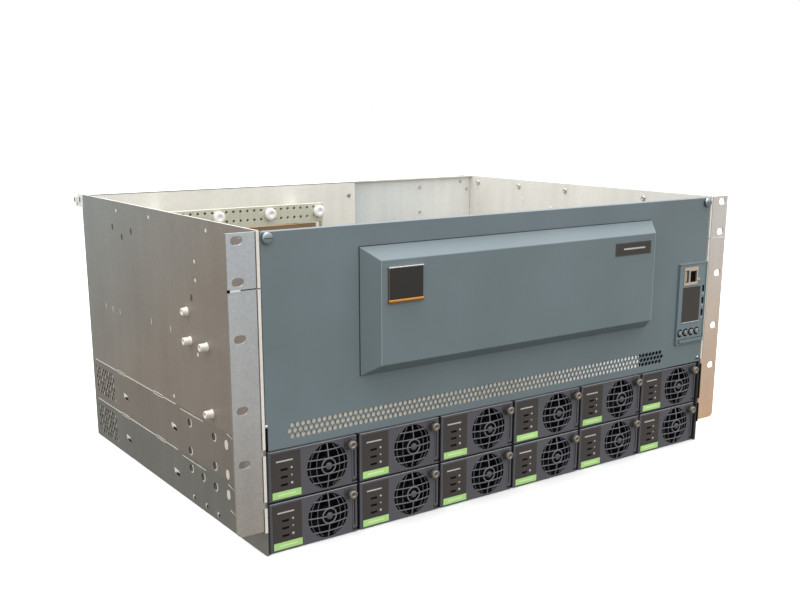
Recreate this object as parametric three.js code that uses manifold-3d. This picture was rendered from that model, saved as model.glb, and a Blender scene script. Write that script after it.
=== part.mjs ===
// Rack-mounted DC power subrack, 23-inch, 6U: two 1U shelves of six plug-in rectifiers under an
// open-topped distribution box with a drop-down front door and a plug-in controller.
// Millimetres, +Z up, front towards -Y, +X to the right seen from the front.

import * as THREE from 'three';
import { mergeVertices } from 'three/addons/utils/BufferGeometryUtils.js';
import Module from 'manifold-3d';

const wasm = await Module();
wasm.setup();

// ---------- driving dimensions ----------
const UNIT_HEIGHT = 44.45;            // one rack unit
const RACK_UNITS = 6;
const PANEL_WIDTH = 584.2;            // 23-inch panel over the ears
const BOX_HALF = 266;                 // half width over the side walls
const SHEET = 1.5;                    // steel sheet
const GAP = 0.3;                      // clearance between pieces that rest on each other
const DEPTH = 400;                    // front of the rectifiers to the rear face

const TOP = RACK_UNITS * UNIT_HEIGHT;
const SHELF_TOP = 2 * UNIT_HEIGHT;
const FACE_Y = -2;                    // front plane of the ears and the door
const INNER_HALF = BOX_HALF - SHEET;

const EAR_SHEET = 2;
const EAR_LEG_DEPTH = 30;
const EAR_LEG_DROP = 8;               // the upper ear's leg stops this far below its flange
const EAR_SPLIT_Z = 5 * UNIT_HEIGHT;
const EAR_BOTTOM_Z = UNIT_HEIGHT / 2;
const EAR_TOP = TOP - 0.6;
const EAR_CORNER = 6;
const SLOT = { x: 283.4, length: 10.2, height: 6.8 };
const SLOT_Z = { upper: [260.35, 228.6], lower: [184.15, 127, 82.55] };

const COLUMNS = 6;
const ROWS = 2;
const PITCH = 87.64;                  // column pitch of the rectifiers
const BEZEL = { width: 84.9, height: 42.5, base: 0.3, depth: 14 };
const CASE = { width: 83.6, height: 39.8, base: 2.2, end: 330 };
const FAN = { x: 55.5, z: 21.2, opening: 19.7, depth: 12, stator: 1.6, front: 3 };
const ROTOR = { tip: 18.4, hub: 7.2, blades: 5, chord: 7, thickness: 0.9, tilt: 38 };
const HANDLE = { left: 79.9, right: 84.5, top: 41.6, thickness: 5.2, pivotZ: 4.2 };
const HANDLE_TAB = { left: 72.6, bottom: 32 };
const FINGER_SLIT = { left: 81.4, right: 82.6, low: 6, high: 30, depth: 3 };
const CAPTIVE_SCREW = { x: 77, z: 36.5, radius: 4, reach: 7 };

const DOOR = { half: 263.6, bottom: 89.6, footTop: 111.6, top: 265.3, pinY: 1.5, pinZ: 92.5, pin: 1 };
const COVER = { half: 174, low: 138.5, high: 247.5, rise: 16.5, slopeX: 11, slopeZ: 10.6 };
const DOOR_SCREW = { x: 258.2, z: 260.6, radius: 4.5, reach: 3.2 };

const CONTROLLER = { left: 221, right: 264, low: 112.5, high: 198.5, front: -3.5, end: 150 };
const SCREEN = { left: 228.2, right: 255, low: 136.5, high: 172.8, depth: 1 };
const BUTTON = { x0: 227.3, pitch: 8.75, z: 124.8, radius: 3.1, count: 4, out: 0.6, length: 2.1, well: 3 };

const SOCKET_Z = 178.2;               // lower edge of both sockets
const USB = { left: 229.8, right: 235.6, height: 13, depth: 11 };
const NETWORK = { left: 237.4, right: 247.8, height: 12, depth: 13 };
const LEDGE = { inset: 4, outset: 3, low: 114.6, high: 117, reach: 2.2 };

const REAR_TAB = { reach: 20, height: 14 };
const STANDOFFS = [                   // on both side walls: place and reach
  { y: 137, z: 182, reach: 5 },
  { y: 132, z: 156.3, reach: 7 },
  { y: 98, z: 157, reach: 7 },
  { y: 93, z: 98.3, reach: 7 },
];
const STANDOFF_RADIUS = 3.4;
const DECK_Z = SHELF_TOP + 0.4;
const BREAKER_PANEL = { y: 46, top: 205, right: 214 };
const TERMINAL = { left: -200, right: -4, low: 227, high: 249.5, y: 338, thickness: 5 };
const KNOB = { radius: 6.5, pitch: 63.4, first: -137.2, z: 239.6, reach: 5, count: 3 };
const TERMINAL_FOOT = { width: 16, inset: 4, trim: 5 };
const FEED = { inset: 7, low: 209, high: 225.5, setback: 4, thickness: 5 };
const FEED_FOOT = { width: 14, inset: 5, trim: 3 };
const BACKPLANE = { y: 391.2, thickness: 2.5, low: 2 };
const CONNECTOR = { halfWidth: 22, height: 14, reach: 40 };
const INNER_PLATE = { right: 75, y: 391.5 };

const FRONT_MOST = FACE_Y - COVER.rise;
const REAR_MOST = DEPTH + REAR_TAB.reach;

// ---------- helpers ----------
function toSolid(geometry) {
  const bare = geometry.index ? geometry.clone() : geometry;
  bare.deleteAttribute('normal');
  bare.deleteAttribute('uv');
  const merged = mergeVertices(bare, 1e-4);
  return new wasm.Manifold(new wasm.Mesh({
    numProp: 3,
    vertProperties: new Float32Array(merged.attributes.position.array),
    triVerts: new Uint32Array(merged.index.array),
  }));
}

function toGeometry(solid) {
  const mesh = solid.getMesh();
  const geometry = new THREE.BufferGeometry();
  geometry.setAttribute('position', new THREE.BufferAttribute(mesh.vertProperties, 3));
  geometry.setIndex(new THREE.BufferAttribute(mesh.triVerts, 1));
  const flat = geometry.toNonIndexed();
  flat.computeVertexNormals();
  return flat;
}

// A box between two corners.
function box(x0, x1, y0, y1, z0, z1) {
  const geometry = new THREE.BoxGeometry(x1 - x0, y1 - y0, z1 - z0);
  geometry.translate((x0 + x1) / 2, (y0 + y1) / 2, (z0 + z1) / 2);
  return toSolid(geometry);
}

// A rod along Y from y0 to y1.
function rodY(x, z, radius, y0, y1, sides = 20) {
  const geometry = new THREE.CylinderGeometry(radius, radius, y1 - y0, sides);
  geometry.translate(x, (y0 + y1) / 2, z);
  return toSolid(geometry);
}

// A rod along X from x0 to x1.
function rodX(y, z, radius, x0, x1, sides = 16) {
  const geometry = new THREE.CylinderGeometry(radius, radius, x1 - x0, sides);
  geometry.rotateZ(Math.PI / 2);
  geometry.translate((x0 + x1) / 2, y, z);
  return toSolid(geometry);
}

// An outline in X-Z extruded along Y from y0 to y1.
function plateXZ(shape, y0, y1, segments = 6) {
  const geometry = new THREE.ExtrudeGeometry(shape, {
    depth: y1 - y0, bevelEnabled: false, curveSegments: segments,
  });
  geometry.rotateX(Math.PI / 2);
  geometry.translate(0, y1, 0);
  return toSolid(geometry);
}

function join(...solids) {
  return solids.reduce((sum, next) => sum.add(next));
}

function cut(solid, ...tools) {
  return tools.reduce((rest, tool) => rest.subtract(tool), solid);
}

const finish = {
  galvanised: { color: 0xa39d94, roughness: 0.5, metalness: 0.9 },
  ear: { color: 0xb4b6b5, roughness: 0.5, metalness: 0.9 },
  cream: { color: 0xe0ded6, roughness: 0.6, metalness: 0.1 },
  doorBlue: { color: 0x6b787d, roughness: 0.55, metalness: 0.1 },
  bezel: { color: 0x585a60, roughness: 0.6, metalness: 0.1 },
  black: { color: 0x1c1c1e, roughness: 0.7, metalness: 0 },
  nickel: { color: 0xaaa091, roughness: 0.35, metalness: 0.9 },
  terminal: { color: 0xc5c5b4, roughness: 0.5, metalness: 0.6 },
  copper: { color: 0xc8a06e, roughness: 0.35, metalness: 0.9 },
  screen: { color: 0x464442, roughness: 0.2, metalness: 0 },
};

function part(name, solid, look) {
  const mesh = new THREE.Mesh(toGeometry(solid), new THREE.MeshStandardMaterial(finish[look]));
  mesh.name = name;
  return mesh;
}

const unit = new THREE.Group();
unit.position.y = -(FRONT_MOST + REAR_MOST) / 2;

// ---------- rectifier shelves ----------
// A tray of one rack unit: floor, two side walls and low guide rails between the rectifiers.
function shelf(name, base) {
  const floorThickness = 1.8;
  const railWidth = 1.8;
  const railHeight = 6;
  const floorFront = BEZEL.depth + 2;
  const floorEnd = BACKPLANE.y - GAP;
  const wallTop = base + UNIT_HEIGHT - GAP;
  let tray = box(-BOX_HALF, BOX_HALF, floorFront, floorEnd, base, base + floorThickness);
  for (const side of [-1, 1]) {
    const xs = [side * INNER_HALF, side * BOX_HALF].sort((a, b) => a - b);
    tray = join(tray, box(xs[0], xs[1], FACE_Y, DEPTH, base, wallTop));
  }
  for (let i = 1; i < COLUMNS; i += 1) {
    const x = (i - COLUMNS / 2) * PITCH;
    tray = join(tray, box(x - railWidth / 2, x + railWidth / 2, floorFront, CASE.end,
      base, base + railHeight));
  }
  return part(name, tray, 'galvanised');
}

// The plate at the rear of both shelves, with one plug connector for each rectifier.
function backplane() {
  const y0 = BACKPLANE.y;
  const half = INNER_HALF - GAP;
  let plate = box(-half, half, y0, y0 + BACKPLANE.thickness, BACKPLANE.low, SHELF_TOP - 1);
  for (let row = 0; row < ROWS; row += 1) {
    for (let column = 0; column < COLUMNS; column += 1) {
      const x = (column - (COLUMNS - 1) / 2) * PITCH;
      const z = row * UNIT_HEIGHT + BEZEL.height / 2;
      plate = join(plate, box(x - CONNECTOR.halfWidth, x + CONNECTOR.halfWidth,
        y0 - CONNECTOR.reach, y0 + 1, z - CONNECTOR.height / 2, z + CONNECTOR.height / 2));
    }
  }
  return part('backplane', plate, 'black');
}

// ---------- distribution box ----------
// A side wall with the pivot hole of the door, four pressed-in standoffs and a rear corner tab.
function sidePanel(name, side) {
  const x0 = Math.min(side * INNER_HALF, side * BOX_HALF);
  const x1 = x0 + SHEET;
  let wall = join(
    box(x0, x1, FACE_Y, DEPTH, SHELF_TOP, TOP),
    box(x0, x1, DEPTH - 1, REAR_MOST, TOP - REAR_TAB.height, TOP),
  );
  for (const { y, z, reach } of STANDOFFS) {
    const outer = side * (BOX_HALF + reach);
    const inner = side * (BOX_HALF - 1);
    wall = join(wall, rodX(y, z, STANDOFF_RADIUS, Math.min(inner, outer), Math.max(inner, outer), 12));
  }
  const hole = rodX(DOOR.pinY, DOOR.pinZ, DOOR.pin + GAP, x0 - 1, x1 + 1, 12);
  return part(name, cut(wall, hole), 'galvanised');
}

// The rear wall, folded forward along its top edge; from the left end the fold runs on down as an
// inner leaf that carries the bars.
function rearPanel() {
  const half = INNER_HALF - GAP;
  const lip = 6;
  const leafEnd = INNER_PLATE.y + SHEET;
  return part('rear_panel', join(
    box(-half, half, DEPTH - SHEET, DEPTH, SHELF_TOP + GAP, TOP),
    box(-half, half, DEPTH - lip, DEPTH, TOP - SHEET, TOP),
    box(-half, INNER_PLATE.right, INNER_PLATE.y, DEPTH, TOP - SHEET, TOP),
    box(-half, INNER_PLATE.right, INNER_PLATE.y, leafEnd, DECK_Z + SHEET + GAP, TOP),
  ), 'cream');
}

// The floor of the distribution box, turned up near the front as the plug-in breaker panel.
function distributionDeck() {
  const half = INNER_HALF - GAP;
  const front = BEZEL.depth - 2;
  const p = BREAKER_PANEL;
  return part('distribution_deck', join(
    box(-half, half, front, DEPTH - SHEET - GAP, DECK_Z, DECK_Z + SHEET),
    box(-half, p.right, p.y, p.y + SHEET, DECK_Z, p.top),
  ), 'galvanised');
}

// The terminal bar with its round nylon knobs and the two brackets that carry it.
function returnBusbar() {
  const t = TERMINAL;
  let bar = box(t.left, t.right, t.y, t.y + t.thickness, t.low, t.high);
  for (let i = 0; i < KNOB.count; i += 1) {
    const x = KNOB.first + i * KNOB.pitch;
    bar = join(bar, rodY(x, KNOB.z, KNOB.radius, t.y - KNOB.reach, t.y + 1, 16));
  }
  const { width, inset, trim } = TERMINAL_FOOT;
  for (const x of [t.left + inset, t.right - inset - width]) {
    bar = join(bar, box(x, x + width, t.y + 1, INNER_PLATE.y - GAP, t.low + trim, t.high - trim));
  }
  return part('return_busbar', bar, 'terminal');
}

// The copper feed bar under the terminal bar, on two feet to the inner plate.
function feedBusbar() {
  const { low, high } = FEED;
  const y0 = TERMINAL.y + FEED.setback;
  const left = TERMINAL.left + FEED.inset;
  const right = TERMINAL.right - FEED.inset;
  const { width, inset, trim } = FEED_FOOT;
  let bar = box(left, right, y0, y0 + FEED.thickness, low, high);
  for (const x of [left + inset, right - inset - width]) {
    bar = join(bar, box(x, x + width, y0 + 1, INNER_PLATE.y - GAP, low + trim, high - trim));
  }
  return part('feed_busbar', bar, 'copper');
}

// ---------- rack ears ----------
// One stretch of an angle bracket: a slotted flange in the panel plane and a leg along the wall.
function ear(name, side, z0, z1, legTop, slots, roundBottom) {
  const legInner = BOX_HALF + GAP;
  const legOuter = legInner + SHEET;
  const tip = PANEL_WIDTH / 2;
  const flange = new THREE.Shape();
  flange.moveTo(side * legInner, z0);
  if (roundBottom) {
    flange.lineTo(side * (tip - EAR_CORNER), z0);
    flange.quadraticCurveTo(side * tip, z0, side * tip, z0 + EAR_CORNER);
  } else {
    flange.lineTo(side * tip, z0);
  }
  flange.lineTo(side * tip, z1);
  flange.lineTo(side * legInner, z1);
  flange.closePath();
  let bracket = plateXZ(flange, FACE_Y, FACE_Y + EAR_SHEET);
  bracket = join(bracket, box(Math.min(side * legInner, side * legOuter),
    Math.max(side * legInner, side * legOuter), FACE_Y, EAR_LEG_DEPTH, z0, legTop));
  for (const z of slots) {
    const end = (SLOT.length - SLOT.height) / 2;
    const hole = new THREE.Shape();
    hole.absarc(side * SLOT.x + end, z, SLOT.height / 2, -Math.PI / 2, Math.PI / 2, false);
    hole.absarc(side * SLOT.x - end, z, SLOT.height / 2, Math.PI / 2, 1.5 * Math.PI, false);
    bracket = cut(bracket, plateXZ(hole, FACE_Y - 1, FACE_Y + EAR_SHEET + 1));
  }
  return part(name, bracket, 'ear');
}

// ---------- front door ----------
// The door's main sheet, cut away at its lower right for the controller.
function frontDoor() {
  const back = FACE_Y + SHEET;
  const notch = 0.6;                  // clearance round the controller
  const sheet = box(-DOOR.half, DOOR.half, FACE_Y, back, DOOR.footTop + GAP, DOOR.top);
  return part('front_door', cut(sheet, box(CONTROLLER.left - notch, DOOR.half + 1,
    FACE_Y - 1, back + 1, DOOR.bottom, CONTROLLER.high + notch)), 'doorBlue');
}

// The strip along the door's foot, under the controller, with the side returns and pivot pins.
function doorFoot() {
  const inset = 0.2;                  // side returns and pins behind the strip's ends
  const pinRing = 2.7;                // steel left round a pin
  let foot = box(-DOOR.half, DOOR.half, FACE_Y, FACE_Y + SHEET, DOOR.bottom, DOOR.footTop);
  for (const side of [-1, 1]) {
    const outer = side * (DOOR.half - inset);
    const inner = side * (DOOR.half - inset - SHEET);
    const pinRoot = side * (DOOR.half - 1);
    const pinEnd = side * (BOX_HALF - inset);
    const pin = rodX(DOOR.pinY, DOOR.pinZ, DOOR.pin, Math.min(pinRoot, pinEnd),
      Math.max(pinRoot, pinEnd), 12);
    foot = join(foot, box(Math.min(outer, inner), Math.max(outer, inner), FACE_Y + SHEET / 2,
      DOOR.pinY + pinRing, DOOR.pinZ - pinRing, DOOR.pinZ + pinRing + 1), pin);
  }
  return part('door_foot', foot, 'doorBlue');
}

// A pyramid frustum that narrows towards the front, used for both faces of the door cover.
function frustum(half, low, high, y0, y1, slopeX, slopeZ) {
  const geometry = new THREE.BoxGeometry(2 * half, y1 - y0, high - low);
  const position = geometry.attributes.position;
  for (let i = 0; i < position.count; i += 1) {
    if (position.getY(i) < 0) {
      position.setX(i, position.getX(i) - Math.sign(position.getX(i)) * slopeX);
      position.setZ(i, position.getZ(i) - Math.sign(position.getZ(i)) * slopeZ);
    }
  }
  geometry.translate(0, (y0 + y1) / 2, (low + high) / 2);
  return toSolid(geometry);
}

function doorCover() {
  const c = COVER;
  const back = FACE_Y - GAP;
  const front = FACE_Y - c.rise;
  const wall = 2;
  const outer = frustum(c.half, c.low, c.high, front, back, c.slopeX, c.slopeZ);
  const inner = frustum(c.half - wall, c.low + wall, c.high - wall, front + SHEET, back + 1,
    c.slopeX, c.slopeZ);
  return part('door_cover', cut(outer, inner), 'doorBlue');
}

// A slotted thumbscrew head on the face of the door.
function doorScrew(name, side) {
  const x = side * DOOR_SCREW.x;
  const back = FACE_Y - GAP;
  const front = back - DOOR_SCREW.reach;
  const slotDepth = 0.8;
  const slotHalf = { length: 3.5, width: 0.5 };
  const head = rodY(x, DOOR_SCREW.z, DOOR_SCREW.radius, front, back, 18);
  const slot = box(x - slotHalf.length, x + slotHalf.length, front - 1, front + slotDepth,
    DOOR_SCREW.z - slotHalf.width, DOOR_SCREW.z + slotHalf.width);
  return part(name, cut(head, slot), 'nickel');
}

// ---------- controller ----------
function buttonX(i) {
  return BUTTON.x0 + i * BUTTON.pitch;
}

function controllerHousing() {
  const c = CONTROLLER;
  const f = c.front;
  let body = box(c.left, c.right, f, c.end, c.low, c.high);
  const screenSeat = box(SCREEN.left - GAP, SCREEN.right + GAP, f - 1,
    f + SCREEN.depth + GAP, SCREEN.low - GAP, SCREEN.high + GAP);
  body = cut(body, screenSeat);
  for (const socket of [USB, NETWORK]) {
    body = cut(body, box(socket.left, socket.right, f - 1, f + socket.depth,
      SOCKET_Z, SOCKET_Z + socket.height));
  }
  for (let i = 0; i < BUTTON.count; i += 1) {
    body = cut(body, rodY(buttonX(i), BUTTON.z, BUTTON.radius + GAP, f - 1, f + BUTTON.well, 16));
  }
  const ledge = box(c.left + LEDGE.inset, c.right - LEDGE.outset, f - LEDGE.reach, f + 0.5,
    LEDGE.low, LEDGE.high);
  return part('controller_housing', join(body, ledge), 'bezel');
}

function controllerScreen() {
  const front = CONTROLLER.front - GAP;
  return part('controller_screen', box(SCREEN.left, SCREEN.right, front,
    CONTROLLER.front + SCREEN.depth, SCREEN.low, SCREEN.high), 'screen');
}

function controllerButton(i) {
  const front = CONTROLLER.front - BUTTON.out;
  return part(`controller_button_${i + 1}`,
    rodY(buttonX(i), BUTTON.z, BUTTON.radius, front, front + BUTTON.length, 16), 'nickel');
}

// ---------- rectifier ----------
// Case and bezel of one plug-in rectifier, in a frame at the bezel's lower left front corner.
function rectifierCase() {
  const side = (BEZEL.width - CASE.width) / 2;
  const clear = 0.4;                  // round the handle
  const bezel = box(0, BEZEL.width, 0, BEZEL.depth, 0, BEZEL.height);
  const body = box(side, BEZEL.width - side, BEZEL.depth - 1, CASE.end,
    CASE.base - BEZEL.base, CASE.base - BEZEL.base + CASE.height);
  const fanWell = rodY(FAN.x, FAN.z, FAN.opening, -1, FAN.depth, 24);
  const stator = rodY(FAN.x, FAN.z, ROTOR.hub, FAN.depth - FAN.stator, FAN.depth + 1, 16);
  const depth = HANDLE.thickness + clear;
  const handleWell = join(
    box(HANDLE.left - clear, BEZEL.width + 1, -1, depth + 0.4,
      HANDLE.pivotZ - HANDLE.thickness / 2 - clear, HANDLE.top + clear),
    box(HANDLE_TAB.left - clear, HANDLE.left, -1, depth, HANDLE_TAB.bottom - clear,
      HANDLE.top + clear),
  );
  return join(cut(join(bezel, body), fanWell, handleWell), stator);
}

// Lever at the bezel's right edge, rounded about its pivot, held at the top by a captive screw.
function rectifierHandle() {
  const radius = HANDLE.thickness / 2;
  const s = CAPTIVE_SCREW;
  const lever = join(
    rodX(radius, HANDLE.pivotZ, radius, HANDLE.left, HANDLE.right, 12),
    box(HANDLE.left, HANDLE.right, 0, HANDLE.thickness, HANDLE.pivotZ, HANDLE.top),
    box(HANDLE_TAB.left, HANDLE.left + 1, 0, HANDLE.thickness, HANDLE_TAB.bottom, HANDLE.top),
  );
  const f = FINGER_SLIT;
  const fingerSlit = box(f.left, f.right, -1, f.depth, f.low, f.high);
  return join(cut(lever, fingerSlit), rodY(s.x, s.z, s.radius, -s.reach, 1, 14));
}

function fanRotor() {
  const y0 = FAN.front;
  const y1 = FAN.depth - FAN.stator - GAP;
  const root = ROTOR.hub - 1.2;       // blades start inside the hub
  const tilt = THREE.MathUtils.degToRad(ROTOR.tilt);
  let rotor = rodY(0, 0, ROTOR.hub, y0, y1, 15);
  for (let i = 0; i < ROTOR.blades; i += 1) {
    const blade = new THREE.BoxGeometry(ROTOR.tip - root, ROTOR.thickness, ROTOR.chord);
    blade.rotateX(Math.PI / 2 - tilt);
    blade.translate((ROTOR.tip + root) / 2, (y0 + y1) / 2, 0);
    blade.rotateY((i * 2 * Math.PI) / ROTOR.blades);
    rotor = join(rotor, toSolid(blade));
  }
  return rotor;
}

function rectifier(row, column) {
  const tag = `${row + 1}${column + 1}`;
  const module = new THREE.Group();
  module.position.set((column - (COLUMNS - 1) / 2) * PITCH - BEZEL.width / 2, 0,
    row * UNIT_HEIGHT + BEZEL.base);
  const rotor = part(`fan_${tag}`, fanRotor(), 'black');
  rotor.position.set(FAN.x, 0, FAN.z);
  module.add(
    part(`rectifier_${tag}`, rectifierCase(), 'bezel'),
    part(`handle_${tag}`, rectifierHandle(), 'bezel'),
    rotor,
  );
  return module;
}

// ---------- assembly ----------
unit.add(shelf('lower_shelf', 0), shelf('upper_shelf', UNIT_HEIGHT), backplane());
unit.add(sidePanel('left_side_panel', -1), sidePanel('right_side_panel', 1), rearPanel());
unit.add(distributionDeck(), returnBusbar(), feedBusbar());
for (const [word, side] of [['left', -1], ['right', 1]]) {
  unit.add(ear(`${word}_ear_upper`, side, EAR_SPLIT_Z + GAP, EAR_TOP, EAR_TOP - EAR_LEG_DROP,
    SLOT_Z.upper, false));
  unit.add(ear(`${word}_ear_lower`, side, EAR_BOTTOM_Z, EAR_SPLIT_Z, EAR_SPLIT_Z,
    SLOT_Z.lower, true));
  unit.add(doorScrew(`door_screw_${word}`, side));
}
unit.add(frontDoor(), doorFoot(), doorCover(), controllerHousing(), controllerScreen());
for (let i = 0; i < BUTTON.count; i += 1) unit.add(controllerButton(i));
for (let row = 0; row < ROWS; row += 1) {
  for (let column = 0; column < COLUMNS; column += 1) unit.add(rectifier(row, column));
}

export default unit;
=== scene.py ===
"""Looks of the rack-mounted DC power subrack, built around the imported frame.

Design places are in millimetres: x to the right, y to the rear from the rectifiers' front face, z up from
the underside. mm() turns them into the row frame in metres.
"""
import math

import bmesh
import bpy
from mathutils import Matrix, Vector


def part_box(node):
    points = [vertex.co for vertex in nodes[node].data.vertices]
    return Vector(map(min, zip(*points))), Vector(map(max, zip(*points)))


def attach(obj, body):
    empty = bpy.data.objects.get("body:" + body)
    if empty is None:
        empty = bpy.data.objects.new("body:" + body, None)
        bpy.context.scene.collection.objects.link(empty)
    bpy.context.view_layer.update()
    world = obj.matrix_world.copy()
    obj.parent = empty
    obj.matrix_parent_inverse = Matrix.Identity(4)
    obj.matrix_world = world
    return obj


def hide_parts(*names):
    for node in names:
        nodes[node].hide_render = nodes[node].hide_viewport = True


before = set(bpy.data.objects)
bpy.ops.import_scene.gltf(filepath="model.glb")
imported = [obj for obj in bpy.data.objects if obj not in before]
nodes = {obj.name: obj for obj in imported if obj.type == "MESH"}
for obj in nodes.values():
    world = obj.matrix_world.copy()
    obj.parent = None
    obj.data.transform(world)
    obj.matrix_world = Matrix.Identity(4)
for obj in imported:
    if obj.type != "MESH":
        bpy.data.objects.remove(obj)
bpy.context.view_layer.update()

# ---------- driving dimensions, in millimetres ----------
FRONT_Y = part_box("rectifier_11")[0].y * 1000      # row-frame y of the rectifiers' front face
UNIT = 44.45              # one rack unit
TOP = 6 * UNIT
SHELF_TOP = 2 * UNIT      # the two module shelves, one unit each
HALF = 266.0              # from the middle plane to a side wall's outer face
INSIDE = 264.2            # half width of what stands between the side walls
SHEET = 1.5
SHELF_FLOOR = 1.8
DEPTH = 400.0             # rear face
FACE = -2.0               # front face of the door panel and the ears
LINER_Y = 391.5           # front face of the rear liner
PITCH = 87.64             # from one module to the next
COLUMNS = 6
ROWS = 2
BEZEL_W, BEZEL_H, BEZEL_BASE = 84.9, 42.5, 0.3


def mm(x, y, z):
    """A design place as a point of the row frame."""
    return Vector((x, y + FRONT_Y, z)) / 1000


def across(side, a, b):
    """The x range between two distances from the middle plane, on the side -1 or 1."""
    return tuple(sorted((side * a, side * b)))


# ---------- materials ----------
def new_material(name, colour, roughness, metallic=0.0):
    material = bpy.data.materials.new(name)
    material.use_nodes = True
    shader = material.node_tree.nodes["Principled BSDF"]
    shader.inputs["Base Color"].default_value = (*colour, 1)
    shader.inputs["Roughness"].default_value = roughness
    shader.inputs["Metallic"].default_value = metallic
    return material, material.node_tree, shader


def texture(tree, kind, scale, **inputs):
    """A texture node in object space; scale is cells per metre."""
    place = tree.nodes.new("ShaderNodeTexCoord")
    stretch = tree.nodes.new("ShaderNodeMapping")
    node = tree.nodes.new(kind)
    stretch.inputs["Scale"].default_value = inputs.pop("stretch", (1, 1, 1))
    tree.links.new(place.outputs["Object"], stretch.inputs["Vector"])
    tree.links.new(stretch.outputs["Vector"], node.inputs["Vector"])
    node.inputs["Scale"].default_value = scale
    for key, value in inputs.items():
        node.inputs[key].default_value = value
    return node


def ramp(tree, source, low, high, colours):
    node = tree.nodes.new("ShaderNodeValToRGB")
    for element, position, colour in zip(node.color_ramp.elements, (low, high), colours):
        element.position = position
        element.color = (*colour, 1)
    tree.links.new(source, node.inputs["Fac"])
    return node.outputs["Color"]


def mix(tree, factor, a, b, blend="MIX"):
    node = tree.nodes.new("ShaderNodeMix")
    node.data_type = "RGBA"
    node.blend_type = blend
    if isinstance(factor, float):
        node.inputs[0].default_value = factor
    else:
        tree.links.new(factor, node.inputs[0])
    tree.links.new(a, node.inputs[6])
    tree.links.new(b, node.inputs[7])
    return node.outputs[2]


def grey(value):
    return (value, value, value)


def vary_roughness(tree, shader, source, low, high):
    tree.links.new(ramp(tree, source, 0.3, 0.7, (grey(low), grey(high))), shader.inputs["Roughness"])


def bump(tree, shader, height, strength, distance):
    node = tree.nodes.new("ShaderNodeBump")
    node.inputs["Strength"].default_value = strength
    node.inputs["Distance"].default_value = distance
    tree.links.new(height, node.inputs["Height"])
    tree.links.new(node.outputs["Normal"], shader.inputs["Normal"])


def galvanised(name, warm, cool, roughness, metallic=0.5, slope=(0, 0.9, 1.3), start=0.16,
               grain=0.05, flank=None):
    """Zinc-coated sheet: a fine sparkling grain, rolled streaks and a slow drift from warm to cool.

    slope and start place the drift: it runs while the object-space point times slope goes from start
    to start + reach. flank is a darker colour for the faces that look sideways, along x: painted shade.
    """
    reach = 0.4
    material, tree, shader = new_material(name, warm, roughness, metallic)
    place = tree.nodes.new("ShaderNodeTexCoord")
    drift = tree.nodes.new("ShaderNodeVectorMath")
    drift.operation = "DOT_PRODUCT"
    drift.inputs[1].default_value = slope
    tree.links.new(place.outputs["Object"], drift.inputs[0])
    colour = ramp(tree, drift.outputs["Value"], start, start + reach, (warm, cool))
    if flank:
        split = tree.nodes.new("ShaderNodeSeparateXYZ")
        tree.links.new(place.outputs["Normal"], split.inputs["Vector"])
        size = tree.nodes.new("ShaderNodeMath")
        size.operation = "ABSOLUTE"
        tree.links.new(split.outputs["X"], size.inputs[0])
        sideways = ramp(tree, size.outputs["Value"], 0.6, 0.8, (grey(0.0), grey(1.0)))
        plain = tree.nodes.new("ShaderNodeRGB")
        plain.outputs["Color"].default_value = (*flank, 1)
        colour = mix(tree, sideways, colour, plain.outputs["Color"])
    streak = texture(tree, "ShaderNodeTexNoise", 60.0, Detail=3.0, stretch=(1, 1, 0.12))
    cloud = texture(tree, "ShaderNodeTexNoise", 11.0, Detail=4.0, Roughness=0.6)
    fine = texture(tree, "ShaderNodeTexNoise", 700.0, Detail=3.0, Roughness=0.75)
    sparkle = texture(tree, "ShaderNodeTexVoronoi", 520.0, Randomness=1.0)
    tones = (
        (streak.outputs["Fac"], 0.3, 0.7, 0.04),
        (cloud.outputs["Fac"], 0.3, 0.7, 0.05),
        (sparkle.outputs["Color"], 0.1, 0.9, grain),
    )
    for source, low, high, spread in tones:
        tone = ramp(tree, source, low, high, (grey(1 - spread), grey(1 + spread)))
        colour = mix(tree, 1.0, colour, tone, "MULTIPLY")
    tree.links.new(colour, shader.inputs["Base Color"])
    vary_roughness(tree, shader, cloud.outputs["Fac"], roughness - 0.05, roughness + 0.08)
    bump(tree, shader, fine.outputs["Fac"], 0.1, 0.0003)
    return material


def coated(name, colour, roughness, texture_scale=1500.0, depth=0.1, spread=0.06, shine=0.5):
    """Paint or moulded plastic with a fine orange-peel texture and slight unevenness of tone."""
    material, tree, shader = new_material(name, colour, roughness)
    shader.inputs["Specular IOR Level"].default_value = shine
    peel = texture(tree, "ShaderNodeTexNoise", texture_scale, Detail=2.0)
    cloud = texture(tree, "ShaderNodeTexNoise", 14.0, Detail=3.0)
    low = tuple(c * (1 - spread) for c in colour)
    high = tuple(c * (1 + spread) for c in colour)
    tree.links.new(ramp(tree, cloud.outputs["Fac"], 0.3, 0.7, (low, high)), shader.inputs["Base Color"])
    vary_roughness(tree, shader, peel.outputs["Fac"], roughness - 0.05, roughness + 0.05)
    bump(tree, shader, peel.outputs["Fac"], depth, 0.0002)
    return material


def turned(name, colour, roughness):
    """Plated turned metal with a faint streak along the cut."""
    material, tree, shader = new_material(name, colour, roughness, 1.0)
    streak = texture(tree, "ShaderNodeTexNoise", 500.0, Detail=2.0, stretch=(1, 0.1, 1))
    low = tuple(c * 0.85 for c in colour)
    tree.links.new(ramp(tree, streak.outputs["Fac"], 0.3, 0.7, (low, colour)), shader.inputs["Base Color"])
    vary_roughness(tree, shader, streak.outputs["Fac"], roughness - 0.06, roughness + 0.1)
    return material


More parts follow.
